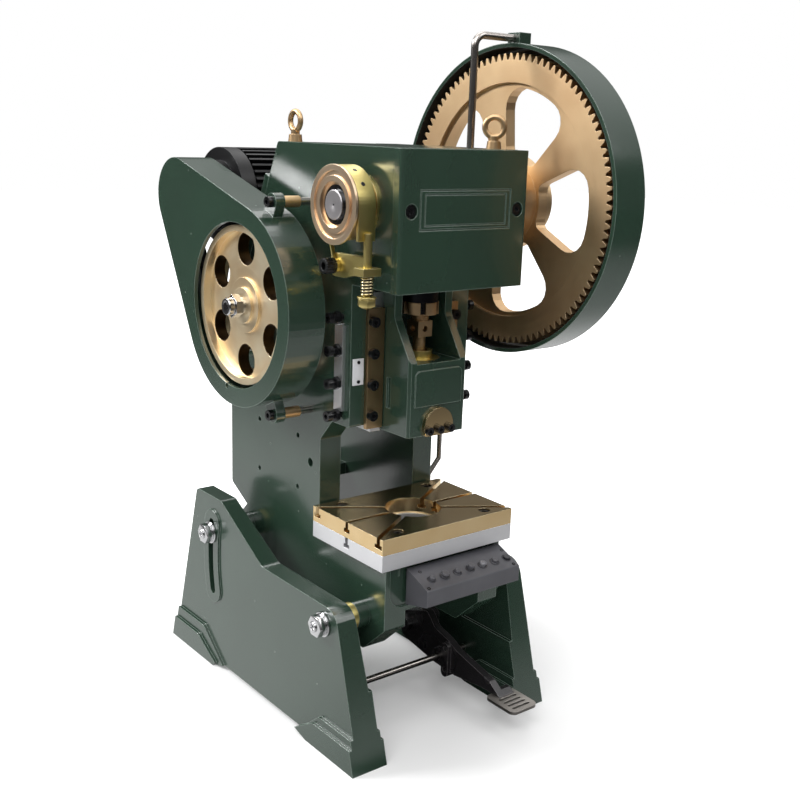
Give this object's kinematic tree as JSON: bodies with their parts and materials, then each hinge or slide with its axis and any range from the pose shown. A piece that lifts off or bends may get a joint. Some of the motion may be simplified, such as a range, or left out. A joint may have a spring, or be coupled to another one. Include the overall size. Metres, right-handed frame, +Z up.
{
  "type": "punch press",
  "caption": "Bench-top scale model of an open-back inclinable crank press with a geared crankshaft, belt-driven flywheel, band brake, guided ram, slotted bolster and foot pedal.",
  "frame": {"origin": "middle of the footprint of the whole press, on the surface it stands on", "axes": "+X to the bull gear, along the crankshaft; +Y to the open back and the motor; +Z up"},
  "size_m": [0.106, 0.1639, 0.251],
  "materials": {
    "green_enamel": "dark green gloss enamel over metal",
    "black_enamel": "satin black enamel",
    "black_oxide": "black oxide on steel screws",
    "brass": "machined yellow brass",
    "red_brass": "turned and brushed copper-rich brass",
    "steel": "turned and ground steel",
    "cast_steel": "machined dark steel",
    "aluminium": "fine milled aluminium",
    "grey_plastic": "satin grey plastic",
    "belt_rubber": "black rubber"
  },
  "bodies": {
    "base": {"left_leg": "green_enamel", "right_leg": "green_enamel", "pedal_shaft": "steel"},
    "press": {"leg_bolts": "steel", "leg_nuts": "steel", "leg_spacers": "brass", "frame": "green_enamel", "front_cover": "green_enamel", "base_plate": "aluminium", "bolster_plate": "brass", "socket_screws": "black_oxide", "gib_strips": "brass", "gib_liners": "aluminium", "gib_side_strips": "aluminium", "gib_adjusting_screws": "black_oxide", "gib_lock_nuts": "black_oxide", "eye_bolts": "brass", "belt_guard": "green_enamel", "guard_standoffs": "brass", "motor_housing": "black_enamel", "motor_end_bells": "black_enamel", "motor_bracket": "green_enamel", "gear_guard": "green_enamel", "gear_guard_rod": "steel", "bearing_bushes": "brass", "brake_band": "brass", "brake_bracket": "brass", "brake_rod": "brass", "brake_spring": "brass", "brake_nut": "brass", "brake_anchor": "black_oxide", "control_box": "grey_plastic", "drive_belt": "belt_rubber"},
    "gear": {"bull_gear": "red_brass"},
    "crank": {"crankshaft": "steel", "crank_end_cap": "red_brass", "brake_drum": "red_brass"},
    "drive": {"back_shaft": "steel", "flywheel": "red_brass", "pinion": "steel"},
    "motor_rotor": {"motor_pulley": "aluminium"},
    "slide": {"ram": "green_enamel", "ball_cap": "brass", "die_clamp": "brass", "clamp_screws": "black_oxide"},
    "rod": {"connecting_rod": "cast_steel", "crank_pin": "steel", "adjusting_screw": "brass", "locking_nut": "brass"},
    "pedal": {"pedal_lever": "black_oxide", "treadle": "steel", "pedal_screws": "black_oxide"},
    "clutch_rod": {"pull_rod": "steel"},
    "button_1": {"button_1": "grey_plastic"},
    "button_2": {"button_2": "grey_plastic"},
    "button_3": {"button_3": "grey_plastic"},
    "button_4": {"button_4": "grey_plastic"},
    "button_5": {"button_5": "grey_plastic"},
    "button_6": {"button_6": "grey_plastic"},
    "button_7": {"button_7": "grey_plastic"}
  },
  "joints": [
    {"name": "frame_tilt", "type": "hinge", "parent": "base", "child": "press", "pos_m": [0, -0.03265, 0.048], "axis": [-1, 0, 0], "range_deg": [0, 17]},
    {"name": "gear_spin", "type": "hinge", "parent": "press", "child": "gear", "pos_m": [0, -0.02665, 0.192], "axis": [1, 0, 0], "continuous": true},
    {"name": "crank_spin", "type": "hinge", "parent": "press", "child": "crank", "pos_m": [0, -0.02665, 0.192], "axis": [1, 0, 0], "continuous": true},
    {"name": "shaft_spin", "type": "hinge", "parent": "press", "child": "drive", "pos_m": [0, 0.01901, 0.153], "axis": [1, 0, 0], "continuous": true},
    {"name": "motor_spin", "type": "hinge", "parent": "press", "child": "motor_rotor", "pos_m": [0, 0.06335, 0.189], "axis": [1, 0, 0], "continuous": true},
    {"name": "ram_slide", "type": "slide", "parent": "press", "child": "slide", "axis": [0, 0, 1], "range_m": [-0.008, 0]},
    {"name": "rod_swing", "type": "hinge", "parent": "slide", "child": "rod", "pos_m": [0, -0.02665, 0.1339], "axis": [1, 0, 0], "range_deg": [-3.7, 3.7]},
    {"name": "pedal_press", "type": "hinge", "parent": "base", "child": "pedal", "pos_m": [0.022, -0.02215, 0.0132], "axis": [1, 0, 0], "range_deg": [0, 9], "stiffness_Nm_per_rad": 0.15, "springref_deg": -17.19},
    {"name": "pull_slide", "type": "slide", "parent": "press", "child": "clutch_rod", "axis": [0, 0, 1], "range_m": [0, 0.0036]},
    {"name": "button_1_press", "type": "slide", "parent": "press", "child": "button_1", "axis": [0, 0.3502, -0.9367], "range_m": [0, 0.0008], "stiffness_N_per_m": 60, "springref_m": -0.0008},
    {"name": "button_2_press", "type": "slide", "parent": "press", "child": "button_2", "axis": [0, 0.3502, -0.9367], "range_m": [0, 0.0008], "stiffness_N_per_m": 60, "springref_m": -0.0008},
    {"name": "button_3_press", "type": "slide", "parent": "press", "child": "button_3", "axis": [0, 0.3502, -0.9367], "range_m": [0, 0.0008], "stiffness_N_per_m": 60, "springref_m": -0.0008},
    {"name": "button_4_press", "type": "slide", "parent": "press", "child": "button_4", "axis": [0, 0.3502, -0.9367], "range_m": [0, 0.0008], "stiffness_N_per_m": 60, "springref_m": -0.0008},
    {"name": "button_5_press", "type": "slide", "parent": "press", "child": "button_5", "axis": [0, 0.3502, -0.9367], "range_m": [0, 0.0008], "stiffness_N_per_m": 60, "springref_m": -0.0008},
    {"name": "button_6_press", "type": "slide", "parent": "press", "child": "button_6", "axis": [0, 0.3502, -0.9367], "range_m": [0, 0.0008], "stiffness_N_per_m": 60, "springref_m": -0.0008},
    {"name": "button_7_press", "type": "slide", "parent": "press", "child": "button_7", "axis": [0, 0.3502, -0.9367], "range_m": [0, 0.0008], "stiffness_N_per_m": 60, "springref_m": -0.0008}
  ],
  "couplings": [
    {"joint": "shaft_spin", "follows": "gear_spin", "ratio": -5.6667},
    {"joint": "motor_spin", "follows": "gear_spin", "ratio": -27.845},
    {"joint": "pull_slide", "follows": "pedal_press", "m_per_rad": 0.0217}
  ]
}
